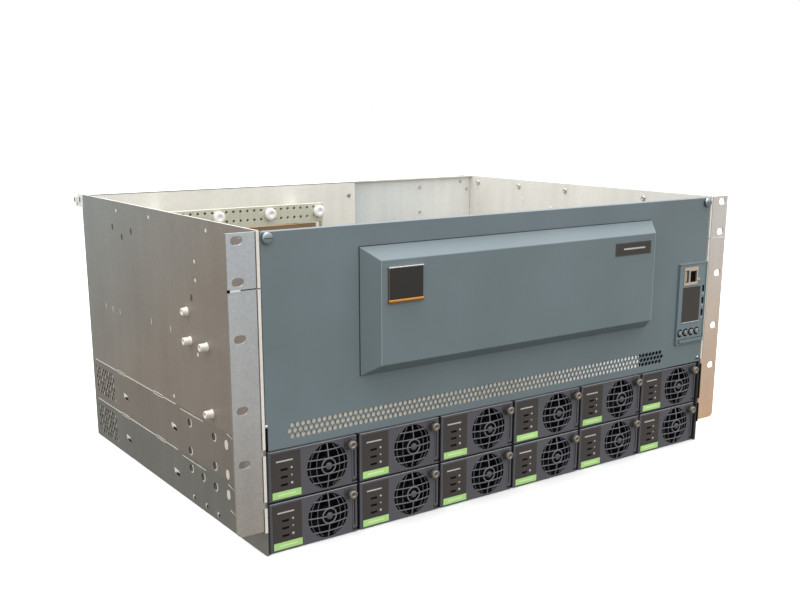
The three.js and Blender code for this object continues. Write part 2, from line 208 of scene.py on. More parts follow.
MAT = {
    # steel, steel_mid and steel_low are one galvanised sheet in three tones, darker on the lower walls:
    # painted shade.
    "steel": galvanised("galvanised_side", (0.30, 0.262, 0.222), (0.285, 0.32, 0.315), 0.48),
    "steel_mid": galvanised("galvanised_middle_shaded", (0.248, 0.224, 0.194), (0.245, 0.245, 0.225), 0.48),
    "steel_low": galvanised("galvanised_low_shaded", (0.206, 0.205, 0.184), (0.215, 0.225, 0.21), 0.48),
    # The ears' drift from warm below to cool-white above is painted reflection, and the left ear's darker
    # sideways faces are painted shade.
    "ear": galvanised("zinc_ear", (0.33, 0.295, 0.26), (0.47, 0.51, 0.54), 0.5, 0.3,
                      (0, 0, 1), -0.12, 0.06, (0.27, 0.24, 0.21)),
    # The right ear's tan lower part is a painted warm reflection.
    "ear_tan_reflection": galvanised("zinc_ear_right", (0.64, 0.41, 0.25), (0.61, 0.58, 0.54), 0.5, 0.3,
                          (0, 0, 1), -0.18, 0.04),
    # lit: the strip behind the door's holes, lighter towards the right: painted light for the lit inside
    # seen through them.
    "lit": galvanised("painted_light_backing", (0.68, 0.62, 0.52), (1.0, 0.99, 0.96), 0.5, 0.1,
                      (1, 0, 0), -0.25, 0.05),
    # Thin bars along the cover's edges, lighter than the door paint: painted highlight.
    "door_edge_highlight": coated("door_edge_highlight", (0.30, 0.36, 0.385), 0.4),
    "plate": coated("name_plate", (0.036, 0.034, 0.030), 0.4, 900.0, 0.03),
    "badge": coated("badge_face", (0.020, 0.018, 0.016), 0.35, 900.0, 0.03),
    "bronze": turned("bronze_trim", (0.22, 0.17, 0.13), 0.4),
    "case": galvanised("module_case", (0.42, 0.41, 0.39), (0.47, 0.48, 0.48), 0.42, 0.6),
    # A very pale zinc for the standoffs, tab and nut, and for painted highlights on edges, rims and tongues
    # and painted light through slots and holes.
    "edge": galvanised("bright_zinc_and_highlight", (0.80, 0.77, 0.70), (0.88, 0.87, 0.84), 0.4, 0.2),
    # A cream tone for the inside, far paler than the steel: painted light of the brightly lit interior.
    "cream": galvanised("pale_zinc_painted_light", (0.74, 0.725, 0.665), (0.80, 0.80, 0.76), 0.5, 0.15,
                        (0, 0, 1), 0.1, 0.03),
    "door": coated("door_paint", (0.142, 0.183, 0.200), 0.42),
    "bezel": coated("bezel_grey", (0.084, 0.086, 0.098), 0.5, 1100.0),
    "panel": coated("label_panel", (0.046, 0.039, 0.037), 0.42, 900.0, 0.05),
    # Black plastic parts, and also painted shade: the cover's shadow lines and the countersinks' bores.
    "black": coated("black_plastic_and_painted_shade", (0.012, 0.012, 0.013), 0.55, 900.0),
    "dark": coated("dark_recess", (0.003, 0.003, 0.003), 0.9, 900.0, shine=0.1),
    "shade": coated("shaded_recess", (0.075, 0.070, 0.064), 0.7, 900.0),
    "green": coated("green_label", (0.42, 0.70, 0.24), 0.5, 700.0, 0.03, 0.1),
    "green_light": coated("green_label_print", (0.60, 0.84, 0.42), 0.5, 700.0, 0.03, 0.1),
    "ink": coated("pale_ink", (0.50, 0.49, 0.48), 0.5, 900.0, 0.02),
    "control": coated("controller_face", (0.155, 0.205, 0.222), 0.4),
    "glass": coated("display_window", (0.050, 0.047, 0.045), 0.12, 400.0, 0.01),
    "nickel": turned("nickel", (0.40, 0.355, 0.30), 0.36),
    "screw_blue": turned("plated_screw", (0.36, 0.42, 0.45), 0.35),
    "screw_pale": turned("bright_screw", (0.62, 0.60, 0.54), 0.3),
    # The rear wall's drift from blue-grey on the left to near-white on the right: painted shade and light.
    "pale_blue": galvanised("rear_zinc", (0.50, 0.55, 0.55), (0.86, 0.85, 0.81), 0.5, 0.15,
                            (1, 0, 0), -0.07, 0.03),
    "shell": coated("port_shell", (0.46, 0.38, 0.30), 0.4),
    "highlight": coated("bezel_top_highlight", (0.34, 0.36, 0.38), 0.4, 1100.0),
    # The grille bars, lighter than the bezel plastic they are made of: painted highlight.
    "guard": coated("fan_guard_highlight", (0.15, 0.155, 0.17), 0.4, 1100.0),
    "rotor": coated("fan_rotor", (0.006, 0.006, 0.007), 0.75, 900.0, shine=0.12),
    "sage": galvanised("tinned_bar", (0.50, 0.50, 0.40), (0.56, 0.56, 0.46), 0.5, 0.2),
    "copper": turned("copper_bar", (0.60, 0.40, 0.25), 0.38),
    "nylon": coated("white_nylon", (0.86, 0.86, 0.84), 0.45, 900.0),
    "orange": turned("orange_trim", (0.58, 0.27, 0.07), 0.4),
    "silver": turned("bright_trim_and_glint", (0.78, 0.78, 0.76), 0.25),
}


# ---------- building blocks ----------
class Piece:
    """Gathers closed solids, each with its own material, into one mesh object."""

    def __init__(self, name):
        self.name = name
        self.mesh = bmesh.new()
        self.materials = []

    def _slot(self, material):
        if material not in self.materials:
            self.materials.append(material)
        return self.materials.index(material)

    def add(self, part, material, smooth=False):
        """Takes over a bmesh that is in design millimetres."""
        index = self._slot(material)
        for face in part.faces:
            face.material_index = index
            face.smooth = smooth
        mesh = bpy.data.meshes.new("part")
        part.to_mesh(mesh)
        part.free()
        self.mesh.from_mesh(mesh)
        bpy.data.meshes.remove(mesh)

    def box(self, material, x, y, z, bevel=0.3, segments=2):
        part = bmesh.new()
        bmesh.ops.create_cube(part, size=1)
        size = Vector((x[1] - x[0], y[1] - y[0], z[1] - z[0]))
        centre = Vector((x[0] + x[1], y[0] + y[1], z[0] + z[1])) / 2
        for vert in part.verts:
            vert.co = Vector(c * s for c, s in zip(vert.co, size)) + centre
        round_edges(part, min(bevel, min(size) * 0.45), segments)
        self.add(part, material)

    def lathe(self, material, centre, axis, profile, sides=24, smooth=True):
        """Turns (radius, along) pairs about an axis through centre; the profile runs from axis to axis."""
        part = bmesh.new()
        rings = []
        for radius, along in profile:
            if radius < 1e-6:
                rings.append([part.verts.new((0, 0, along))])
                continue
            angles = [2 * math.pi * i / sides for i in range(sides)]
            rings.append([part.verts.new((radius * math.cos(a), radius * math.sin(a), along))
                          for a in angles])
        for a, b in zip(rings, rings[1:]):
            for i in range(sides):
                j = (i + 1) % sides
                ring = [a[i % len(a)], a[j % len(a)], b[j % len(b)], b[i % len(b)]]
                part.faces.new(list(dict.fromkeys(ring)))
        bmesh.ops.recalc_face_normals(part, faces=part.faces)
        turn = Vector((0, 0, 1)).rotation_difference(Vector(axis)).to_matrix().to_4x4()
        bmesh.ops.transform(part, matrix=Matrix.Translation(centre) @ turn, verts=part.verts)
        self.add(part, material, smooth)

    def plate(self, material, plane, outline, holes, near, far, bevel=0.15):
        """A flat sheet with holes: outline and holes are point loops in the plane "xz" or "yz"."""
        curve = bpy.data.curves.new("plate", "CURVE")
        curve.dimensions = "2D"
        curve.fill_mode = "BOTH"
        curve.bevel_depth = bevel
        curve.bevel_resolution = 0
        curve.offset = -bevel
        curve.extrude = (far - near) / 2 - bevel
        for loop in [outline, *holes]:
            add_spline(curve, [(u, v, 0) for u, v in loop], True)
        middle = (near + far) / 2
        place = {
            "xz": Matrix(((1, 0, 0, 0), (0, 0, -1, middle), (0, 1, 0, 0), (0, 0, 0, 1))),
            "yz": Matrix(((0, 0, 1, middle), (1, 0, 0, 0), (0, 1, 0, 0), (0, 0, 0, 1))),
        }[plane]
        part = solid_of(curve)
        bmesh.ops.transform(part, matrix=place, verts=part.verts)
        bmesh.ops.remove_doubles(part, verts=part.verts, dist=1e-4)
        bmesh.ops.recalc_face_normals(part, faces=part.faces)
        self.add(part, material)

    def wire(self, material, points, radius, cyclic=False, sides=2):
        """A round bar along points."""
        curve = bpy.data.curves.new("wire", "CURVE")
        curve.dimensions = "3D"
        curve.bevel_depth = radius
        curve.bevel_resolution = sides
        curve.use_fill_caps = True
        add_spline(curve, points, cyclic)
        part = solid_of(curve)
        bmesh.ops.recalc_face_normals(part, faces=part.faces)
        self.add(part, material, True)

    def done(self, body, replaces=()):
        """Makes the object, in metres, on its body, standing for its CAD nodes."""
        to_frame = Matrix.Scale(0.001, 4) @ Matrix.Translation((0, FRONT_Y, 0))
        bmesh.ops.transform(self.mesh, matrix=to_frame, verts=self.mesh.verts)
        mesh = bpy.data.meshes.new(self.name)
        self.mesh.to_mesh(mesh)
        self.mesh.free()
        for name in self.materials:
            mesh.materials.append(MAT[name])
        piece = bpy.data.objects.new(self.name, mesh)
        bpy.context.scene.collection.objects.link(piece)
        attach(piece, body)
        if replaces:
            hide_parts(*replaces)


def add_spline(curve, points, cyclic):
    spline = curve.splines.new("POLY")
    spline.points.add(len(points) - 1)
    spline.use_cyclic_u = cyclic
    for target, point in zip(spline.points, points):
        target.co = (*point, 1)


def solid_of(curve):
    """The solid that a curve stands for, as a bmesh; the curve itself is removed."""
    holder = bpy.data.objects.new("holder", curve)
    bpy.context.scene.collection.objects.link(holder)
    bpy.context.view_layer.update()
    graph = bpy.context.evaluated_depsgraph_get()
    mesh = bpy.data.meshes.new_from_object(holder.evaluated_get(graph))
    part = bmesh.new()
    part.from_mesh(mesh)
    bpy.data.objects.remove(holder)
    bpy.data.curves.remove(curve)
    bpy.data.meshes.remove(mesh)
    return part


def round_edges(part, width, segments):
    bmesh.ops.bevel(part, geom=part.edges[:], offset=width, segments=segments, affect="EDGES",
                    profile=0.5)


def circle(u, v, radius, sides=16):
    angles = [2 * math.pi * i / sides for i in range(sides)]
    return [(u + radius * math.cos(a), v + radius * math.sin(a)) for a in angles]


def rectangle(u0, u1, v0, v1):
    return [(u0, v0), (u1, v0), (u1, v1), (u0, v1)]


def stadium(u, v, length, height, sides=16):
    """A slot with round ends, long in u, or long in v where height is the larger."""
    radius = min(length, height) / 2
    du, dv = max(0, length / 2 - radius), max(0, height / 2 - radius)
    points = []
    for i in range(sides + 1):
        a = 2 * math.pi * i / sides
        c, s = math.cos(a), math.sin(a)
        points.append((u + math.copysign(du, c) * (abs(c) > 1e-9) + radius * c,
                       v + math.copysign(dv, s) * (abs(s) > 1e-9) + radius * s))
    return list(dict.fromkeys(points))


def dress(node, material, bevel):
    """Gives a CAD node its finish and softens its edges by a width in millimetres."""
    target = nodes[node]
    target.data.materials.clear()
    target.data.materials.append(MAT[material])
    modifier = target.modifiers.new("soft_edges", "BEVEL")
    modifier.width = bevel / 1000
    modifier.segments = 2
    modifier.limit_method = "ANGLE"
    modifier.angle_limit = math.radians(40)
    modifier.use_clamp_overlap = True
    modifier.harden_normals = False


# ---------- camera, light and floor ----------
def make_camera():
    data = bpy.data.cameras.new("camera")
    data.sensor_width = 36
    data.lens = 46.61
    data.shift_y = 0.0682
    camera = bpy.data.objects.new("camera", data)
    yaw, pitch = math.radians(35.14), math.radians(13.57)
    forward = Vector((math.sin(yaw) * math.cos(pitch), math.cos(yaw) * math.cos(pitch), -math.sin(pitch)))
    camera.location = mm(-629.3, -706.9, 359.7)
    camera.rotation_mode = "QUATERNION"
    camera.rotation_quaternion = forward.to_track_quat("-Z", "Y")
    bpy.context.scene.collection.objects.link(camera)
    bpy.context.scene.camera = camera


def area_light(name, place, aim, size, power):
    data = bpy.data.lights.new(name, "AREA")
    data.shape = "RECTANGLE"
    data.size, data.size_y = size
    data.energy = power
    lamp = bpy.data.objects.new(name, data)
    lamp.location = place
    lamp.rotation_mode = "QUATERNION"
    lamp.rotation_quaternion = (Vector(aim) - Vector(place)).to_track_quat("-Z", "Y")
    bpy.context.scene.collection.objects.link(lamp)


def make_studio():
    """A bright world that darkens towards the ground, two soft lamps and a white floor."""
    scene = bpy.context.scene
    scene.view_settings.view_transform = "Standard"
    world = bpy.data.worlds.new("studio")
    world.use_nodes = True
    background = world.node_tree.nodes["Background"]
    background.inputs["Strength"].default_value = 2.0
    direction = world.node_tree.nodes.new("ShaderNodeTexCoord")
    split = world.node_tree.nodes.new("ShaderNodeSeparateXYZ")
    world.node_tree.links.new(direction.outputs["Generated"], split.inputs["Vector"])
    below, horizon, zenith = (0.17, 0.16, 0.145), grey(0.5), grey(1.0)
    height = world.node_tree.nodes.new("ShaderNodeMapRange")
    height.inputs["From Min"].default_value = -1.0       # 0 straight down, 0.5 level, 1 straight up
    world.node_tree.links.new(split.outputs["Z"], height.inputs["Value"])
    sky = ramp(world.node_tree, height.outputs["Result"], 0.44, 0.488, (below, horizon))
    stops = sky.node.color_ramp.elements
    stops.new(0.62).color = (*horizon, 1)
    stops.new(0.85).color = (*zenith, 1)
    world.node_tree.links.new(sky, background.inputs["Color"])
    scene.world = world
    middle = (0, 0, 0.1)
    area_light("top", (0.0, 0.3, 2.2), middle, (1.6, 1.6), 30)
    area_light("front", (0.5, -2.6, 1.6), middle, (1.8, 1.2), 4)
    floor_mesh = bpy.data.meshes.new("floor")
    reach = 30
    corners = [(x, y, 0) for x, y in rectangle(-reach, reach, -reach, reach)]
    floor_mesh.from_pydata(corners, [], [(0, 1, 2, 3)])
    material, _, _ = new_material("floor_paint", (0.96, 0.96, 0.96), 0.95)
    floor_mesh.materials.append(material)
    floor = bpy.data.objects.new("floor", floor_mesh)
    floor.location.z = -0.0004
    floor.visible_diffuse = False
    floor.visible_glossy = False
    scene.collection.objects.link(floor)


# ---------- side walls ----------
EAR_SPLIT = 5 * UNIT
OUTSIDE = 0.06           # how far a surface mark stands off the wall
STANDOFFS = ((137, 182, 5), (132, 156.3, 7), (98, 157, 7), (93, 98.3, 7))      # y, z, reach
REAR_TAB = 20            # how far the corner tab stands behind the wall
TAB_HEIGHT = 14
WALL_END = 391           # where the joints and floors of the shelves end


def wall_mark(piece, side, material, loop, depth=0.3):
    """A thin filled shape on a side wall's outer face."""
    piece.plate(material, "yz", loop, [], *across(side, HALF - depth, HALF + OUTSIDE), 0.02)


def wall_plate(piece, side, z0, z1, material="steel", tab=0):
    """A side wall, with a tab at its upper rear corner where a reach is given."""
    if tab:
        rear = [(DEPTH, z1 - TAB_HEIGHT), (DEPTH + tab, z1 - TAB_HEIGHT), (DEPTH + tab, z1)]
    else:
        rear = [(DEPTH, z1)]
    outline = [(FACE, z0), (DEPTH, z0), *rear, (FACE, z1)]
    piece.plate(material, "yz", outline, [], *across(side, HALF - SHEET, HALF), 0.03)


def screw(piece, centre, axis, radius=2.6, height=1.4, material="nickel"):
    """A low domed screw head with a recess."""
    piece.lathe(material, centre, axis,
                [(0, -0.5), (radius, -0.5), (radius, height * 0.45), (radius * 0.8, height * 0.9),
                 (radius * 0.4, height), (radius * 0.38, height * 0.35), (0, height * 0.35)], 16)


def crescent(y, z, radius, shift, angles, sides=14):
    """A sickle between a circle and a smaller one moved by shift, over a span of angles in degrees."""
    start, end = (math.radians(a) for a in angles)
    steps = [start + (end - start) * i / sides for i in range(sides + 1)]
    outer = [(y + radius * math.cos(a), z + radius * math.sin(a)) for a in steps]
    small = radius * 0.86
    inner = [(y + shift[0] + small * math.cos(a), z + shift[1] + small * math.sin(a))
             for a in reversed(steps)]
    return outer + inner


def countersink(piece, side, y, z, radius=4.3):
    """A pressed screw seat: painted shade in the bore to the rear of its centre and a painted highlight on
    the rim towards the front.
    """
    wall_mark(piece, side, "shade", circle(y + 0.5, z, radius * 0.8, 20), 1.2)
    wall_mark(piece, side, "black", crescent(y + 0.9, z, radius * 0.8, (-1.2, -0.3), (-60, 80), 10), 1.1)
    wall_mark(piece, side, "edge", crescent(y, z, radius, (1.0, 0.5), (120, 285)))


def lanced_tab(piece, side, y, z):
    """A tongue cut out of the wall and bent inwards: a painted highlight on the tongue, painted shade in
    the opening towards the front.
    """
    opening = [(y - 8.0, z - 3.8), (y + 1.0, z - 3.2), (y + 1.0, z - 0.6), (y - 5.6, z - 0.8)]
    tongue = [(y - 5.8, z - 1.2), (y + 4.6, z - 2.6), (y + 5.8, z + 2.2), (y - 4.0, z + 1.4)]
    wall_mark(piece, side, "dark", opening, 1.0)
    wall_mark(piece, side, "edge", tongue)


def bright_slot(piece, side, y0, y1, z, height):
    """A slot that light shines through, from y0 to y1."""
    wall_mark(piece, side, "edge", stadium((y0 + y1) / 2, z, y1 - y0, height, 12))


def seam(piece, side, z, marks, end, low_z):
    """The open joint between two walls: a long stretch with wider bays at the marks, then a lower one."""
    stop, gap = 173, 10
    bright_slot(piece, side, stop, WALL_END, z, 1.1)
    bright_slot(piece, side, end, stop - gap, low_z, 0.8)
    # Each bay is drawn bright with a painted shade line along its middle: painted light through the joint.
    for y in marks:
        length, height = 24, 3.2
        wall_mark(piece, side, "edge", stadium(y, z, length, height, 12))
        wall_mark(piece, side, "shade", stadium(y, z, length * 0.8, height * 0.3, 8), 0.2 - OUTSIDE)


def vent_patch(piece, side, y0, y1, z0, z1):
    """Rows of short dark louvre slots, some with an edge that catches the light."""
    rows, columns = 6, 8
    for row in range(rows):
        for column in range(columns):
            y = y0 + (y1 - y0) * (column + 0.5 * (row % 2)) / columns
            z = z0 + (z1 - z0) * (row + 0.5) / rows
            wall_mark(piece, side, "dark", stadium(y, z, 2.6, 4.0, 8), 0.6)
            if (2 * row + 3 * column) % 5 < 2:
                wall_mark(piece, side, "edge", stadium(y - 1.7, z - 0.6, 1.5, 3.4, 6), 0.4)


def front_lip(piece, side, z0, z1, material="edge"):
    """The folded front edge of a side wall, which closes the gap beside the ear, and its shadow line."""
    fold = HALF + 1.2
    piece.box(material, across(side, HALF - 1.4, fold), (FACE - 0.45, FACE - 0.02), (z0, z1), 0.15)
    piece.box("shade", across(side, fold, HALF + 1.9), (FACE - 0.3, FACE - 0.02), (z0, z1), 0.05)


def ear_split(piece, side):
    """The joint of the two ear stretches: a bright burr, a line beside the wall and a notch at the edge."""
    edge, middle, inner = 292.1, 281.5, HALF + 2
    # The line beside the wall and the notch are dark on the left ear and bright on the right one: painted
    # shade and painted highlight.
    gap = "dark" if side < 0 else "edge"
    marks = (
        ("edge", (middle, edge - 1.6), (-0.9, 0.5)),
        (gap, (inner, middle), (-0.2, 0.45)),
        (gap, (edge - 1.9, edge + 0.1), (-1.2, 1.2)),
    )
    for material, x, (low, high) in marks:
        piece.box(material, across(side, *x), (FACE - 0.2, FACE + 1.5),
                  (EAR_SPLIT + low, EAR_SPLIT + high), 0.05)


def side_panel(name, side):
    """The upper side wall: punched marks with painted highlights and shade, standoffs, a pale inside that
    is painted light, folded edges with a painted highlight along the top, and inner screws.
    """
    piece = Piece(f"{name}_wall")
    wall_plate(piece, side, SHELF_TOP, TOP, tab=REAR_TAB)
    # Bright dots, each with a crescent of painted shade on its rear side.
    bright = [(298.8, 257.6), (214.7, 258.2), (90.2, 257.8), (116.2, 228.9), (115.8, 212.6),
              (117.4, 146.4), (175.9, 95.2)]
    for y, z in bright:
        wall_mark(piece, side, "edge", circle(y, z, 1.9, 14))
        wall_mark(piece, side, "shade", crescent(y, z, 2.5, (-0.5, 0), (-80, 80), 8), 0.2)
    for y, z in ((311.5, 240.4), (286.7, 232.8), (261.3, 240.6), (125.6, 195.9)):
        wall_mark(piece, side, "shade", stadium(y, z, 4.6, 6.4, 14))
    # Narrow slivers: a bright lip as painted highlight beside a cut in painted shade.
    for y, z in ((344.4, 154.1), (324.6, 154.1), (304.2, 154.3), (221.0, 158.5), (174.7, 159.2)):
        lip = [(y - 0.9, z - 3.0), (y + 0.5, z - 2.2), (y + 1.3, z + 2.8), (y, z + 2.4)]
        cut = [(y - 1.9, z - 3.0), (y - 1.0, z - 3.1), (y, z + 2.2), (y - 0.7, z + 1.8)]
        wall_mark(piece, side, "edge", lip)
        wall_mark(piece, side, "shade", cut)
    for y, z, reach in STANDOFFS:
        piece.lathe("edge", (side * HALF, y, z), (side, 0, 0),
                    [(0, -0.4), (4.2, -0.4), (4.2, 0.3), (3.5, 0.6), (3.5, reach - 0.4), (3.1, reach),
                     (1.7, reach), (1.7, reach - 3), (0, reach - 3)], 20)
    inner = HALF - SHEET
    # A bright strip along the top edge: painted highlight.
    piece.box("edge", across(side, inner, HALF), (FACE, DEPTH + REAR_TAB), (TOP - 0.05, TOP + 0.08), 0.02)
    # A cream sheet on the inner face: painted light for the brightly lit inside.
    piece.box("cream", across(side, inner, inner - 0.12), (FACE + 0.3, DEPTH - SHEET),
              (SHELF_TOP + 2.5, TOP - 0.02), 0.02)
    rear_tab(piece, side)
    front_lip(piece, side, EAR_SPLIT + 0.5, TOP - 0.4)
    front_lip(piece, side, SHELF_TOP + 2.5, EAR_SPLIT - 0.8)
    ear_split(piece, side)
    seat, inwards = side * (inner - 0.1), (-side, 0, 0)
    for y in (90.2, 214.7, 298.8, 380.6):
        screw(piece, (seat, y, 258.0), inwards, 3.0, 1.8, "screw_pale")
    for y, z in ((291.4, 242.7), (239.1, 235.8)):
        screw(piece, (seat, y, z), inwards, 1.4, 0.6, "nylon")
    piece.done("root", [name])


def rear_tab(piece, side):
    """The bright corner tab behind the wall, with a slot and a square nut at its end."""
    wall_mark(piece, side, "edge", rectangle(DEPTH - 3, DEPTH + REAR_TAB, TOP - TAB_HEIGHT, TOP))
    wall_mark(piece, side, "shade", stadium(DEPTH + 6, TOP - 6, 3.4, 6.4, 12), 0.2 - OUTSIDE)
    nut, hole = across(side, HALF - 0.5, HALF + 3), across(side, HALF + 2.6, HALF + 3.2)
    piece.box("edge", nut, (DEPTH + 12, DEPTH + 18), (TOP - 10, TOP - 2.5), 0.5)
    piece.box("shade", hole, (DEPTH + 13.4, DEPTH + 16.6), (TOP - 8.2, TOP - 4.4), 0.2)


# The punched features of a shelf's walls, as (y, z) places; the vent is its z range.
SHELF_MARKS = {
    "lower_shelf": {
        "seats": ((142.8, 33.6), (117.5, 32.6), (91.6, 31.5)),
        "tabs": ((302.9, 20.8), (178.1, 20.6)),
        "ovals": ((66.3, 31.9),),
        "slits": ((60.0, 40.7), (57.5, 17.7)),
        "small": ((139.7, 6.3), (112.4, 6.7), (87.8, 6.1)),
        "vent": (6, 38),
    },
    "upper_shelf": {
        "seats": ((142.3, 77.7), (91.1, 77.8), (143.0, 50.6), (91.1, 51.0)),
        "tabs": ((304.1, 65.5), (179.7, 65.5)),
        "ovals": ((66.9, 77.0), (66.4, 50.3)),
        "slits": ((59.4, 86.7),),
        "small": (),
        "vent": (51, 82),
    },
}


def shelf(name, base):
    """Floor, side walls with their punched features and black strips inside at the front, guide rails, and
    dark boxes in the gaps between the modules' fronts as painted shade.
    """
    piece = Piece(f"{name}_tray")
    top = base + UNIT
    marks = SHELF_MARKS[name]
    # The upper shelf's walls take a darker copy of the steel, the lower shelf's a darker one still: painted
    # shade.
    if base:
        steel, foot, lip_start = "steel_mid", 0.02, 2.6
    else:
        steel, foot, lip_start = "steel_low", 0, 20.5
    for side in (-1, 1):
        wall_plate(piece, side, base + foot, top - 0.02, steel)
        for y, z in marks["seats"]:
            countersink(piece, side, y, z)
        for y, z in marks["tabs"]:
            lanced_tab(piece, side, y, z)
        # The ovals, slits and small-hole rims are drawn bright and the small holes' centres dark: painted
        # light and painted shade.
        for y, z in marks["ovals"]:
            wall_mark(piece, side, "edge", stadium(y, z, 6.6, 8.8, 16))
        for y, z in marks["slits"]:
            slit = [(y - 6, z - 1.6), (y - 5, z - 1.6), (y + 6, z + 0.4), (y + 6, z + 1.4)]
            wall_mark(piece, side, "edge", slit)
        for y, z in marks["small"]:
            wall_mark(piece, side, "edge", circle(y + 0.6, z, 2.4, 14))
            wall_mark(piece, side, "dark", circle(y - 0.5, z - 0.3, 1.8, 12), 0.4)
        vent_patch(piece, side, 338, 392, *marks["vent"])
        # The front lip is bright on the left wall and dark on the right: painted highlight and painted
        # shade.
        front_lip(piece, side, base + lip_start, top - 2.7, "edge" if side < 0 else "dark")
        liner = across(side, HALF - SHEET - 0.1, HALF - 3.6)
        piece.box("black", liner, (FACE + 0.2, 60), (base + 0.6, top - 0.6), 0.3)
    start = 16
    piece.box("steel", (-HALF + 0.2, HALF - 0.2), (start, WALL_END), (base, base + SHELF_FLOOR), 0.2)
    for i in range(1, COLUMNS):
        x = (i - COLUMNS / 2) * PITCH
        piece.box("steel", (x - 0.9, x + 0.9), (start, 330), (base + 0.2, base + 6), 0.2)
        # A dark box in each gap between the modules' fronts: painted shade.
        piece.box("dark", (x - 1.15, x + 1.15), (1.2, start - 0.1), (base + 0.3, top - 1.9), 0.2)
    piece.done("root", [name])


def seams():
    for side, word in ((-1, "left"), (1, "right")):
        piece = Piece(f"{word}_seams")
        seam(piece, side, 88.0, (313.6, 215.2), 113, 86.2)
        seam(piece, side, 43.3, (307.8, 214.1), 111, 40.8)
        piece.done("root")


# ---------- door ----------
DOOR_HALF, DOOR_LOW, DOOR_HIGH = 263.6, 89.6, 265.3
COVER_RISE = 16.5        # how far the raised cover stands before the door
CONTROL_X, CONTROL_Z = (221.0, 264.0), (112.5, 198.5)


def perforation():
    """Three staggered rows of round holes along the foot of the door."""
    pitch = 5.1
    first, last = -241.6, 203.9
    count = round((last - first) / pitch)
    holes = []
    for z, shift in ((98.3, pitch / 2), (103.0, 0), (107.7, pitch / 2)):
        for i in range(count + 1):
            x = first + i * pitch + shift
            if x <= last + 0.1:
                holes.append(circle(x, z, 2.25, 10))
    return holes


def door():
    """The door panel, open at the controller, with a strip of painted light and shade behind its holes,
    foot ends, pins and upper fold.
    """
    piece = Piece("door_panel")
    gap = 0.6
    left, low, high = CONTROL_X[0] - gap, CONTROL_Z[0] - gap, CONTROL_Z[1] + gap
    outline = [(-DOOR_HALF, DOOR_LOW), (DOOR_HALF, DOOR_LOW), (DOOR_HALF, low), (left, low),
               (left, high), (DOOR_HALF, high), (DOOR_HALF, DOOR_HIGH), (-DOOR_HALF, DOOR_HIGH)]
    piece.plate("door", "xz", outline, perforation(), FACE, FACE + SHEET, 0.2)
    # Behind the holes: a bright stretch, lighter towards the right, is painted light for the lit inside
    # seen through them; the dark stretch beyond it is painted shade.
    lit_end = 169
    for material, x in (("lit", (-247, lit_end)), ("dark", (lit_end, 209))):
        piece.box(material, x, (FACE + SHEET + 0.02, FACE + SHEET + 0.3), (95, 111), 0.02)
    pin_y, pin_z = 1.5, 92.5
    for side in (-1, 1):
        piece.box("door", across(side, DOOR_HALF - 0.2, DOOR_HALF - 1.7), (FACE + 0.7, 4.2),
                  (DOOR_LOW + 0.1, 96), 0.3)
        piece.lathe("nickel", (side * (DOOR_HALF - 1), pin_y, pin_z), (side, 0, 0),
                    [(0, 0), (1, 0), (1, 3.1), (0.8, 3.2), (0, 3.2)], 12)
    piece.box("door", (-DOOR_HALF + 4, DOOR_HALF - 4), (FACE + SHEET - 0.1, 6),
              (DOOR_HIGH - SHEET, DOOR_HIGH), 0.3)
    # The notches at the lower corners, which show dark, and the bright pin ends beside them.
    piece.box("dark", (-DOOR_HALF - 0.5, -DOOR_HALF + 1.6), (FACE - 0.06, FACE + 1),
              (DOOR_LOW, 109.5), 0.05)
    piece.box("dark", (DOOR_HALF - 7.5, DOOR_HALF + 0.2), (FACE - 0.05, FACE + 1),
              (DOOR_LOW + 2.4, 92.9), 0.05)
    for x, z in ((-DOOR_HALF + 0.4, 110.6), (DOOR_HALF - 4, 94.6)):
        piece.lathe("silver", (x, FACE, z), (0, -1, 0),
                    [(0, -0.2), (1.5, -0.2), (1.5, 0.5), (1.0, 0.9), (0, 0.9)], 14)
    piece.done("door", ["front_door", "door_foot"])


def door_cover():
    """The raised hollow cover: four sloping sides folded back from a flat face."""
    half, low, high = 174.0, 138.5, 247.5
    slope_x, slope_z = 11.0, 10.6
    wall = 1.6
    part = bmesh.new()
    back, front = FACE - 0.1, FACE - COVER_RISE

    def ring(y, x_in, z_in):
        x, z0, z1 = half - x_in, low + z_in, high - z_in
        return [part.verts.new(p) for p in ((-x, y, z0), (x, y, z0), (x, y, z1), (-x, y, z1))]

    outer_back = ring(back, 0, 0)
    outer_front = ring(front, slope_x, slope_z)
    inner_back = ring(back, wall, wall)
    inner_front = ring(front + wall, slope_x + wall, slope_z + wall)
    for a, b in ((outer_back, outer_front), (inner_front, inner_back), (inner_back, outer_back)):
        for i in range(4):
            j = (i + 1) % 4
            part.faces.new((a[i], a[j], b[j], b[i]))
    part.faces.new(outer_front)
    part.faces.new(inner_front[::-1])
    bmesh.ops.recalc_face_normals(part, faces=part.faces)
    round_edges(part, 0.6, 3)
    piece = Piece("door_cover_shell")
    piece.add(part, "door")
    side, bottom, top = half - slope_x, low + slope_z, high - slope_z
    corner, foot = front + 0.12, FACE - 0.2
    # Thin bars: painted highlights on the two upright front edges and the right upper fold, and painted
    # shadow lines along the top and the left side where the cover meets the door.
    edges = (
        ("door_edge_highlight", (-side, corner, bottom + 0.6), (-side, corner, top - 0.6), 0.32),
        ("door_edge_highlight", (side, corner, bottom + 0.6), (side, corner, top - 0.6), 0.32),
        ("door_edge_highlight", (side, front + 0.3, top), (half - 0.4, back - 0.2, high - 0.4), 0.3),
        ("black", (-half + 0.5, foot, high), (half - 0.5, foot, high), 0.45),
        ("black", (-half, foot, low), (-half, foot, high), 0.4),
    )
    for material, start, end, radius in edges:
        piece.wire(material, [start, end], radius, sides=1)
    piece.done("door", ["door_cover"])


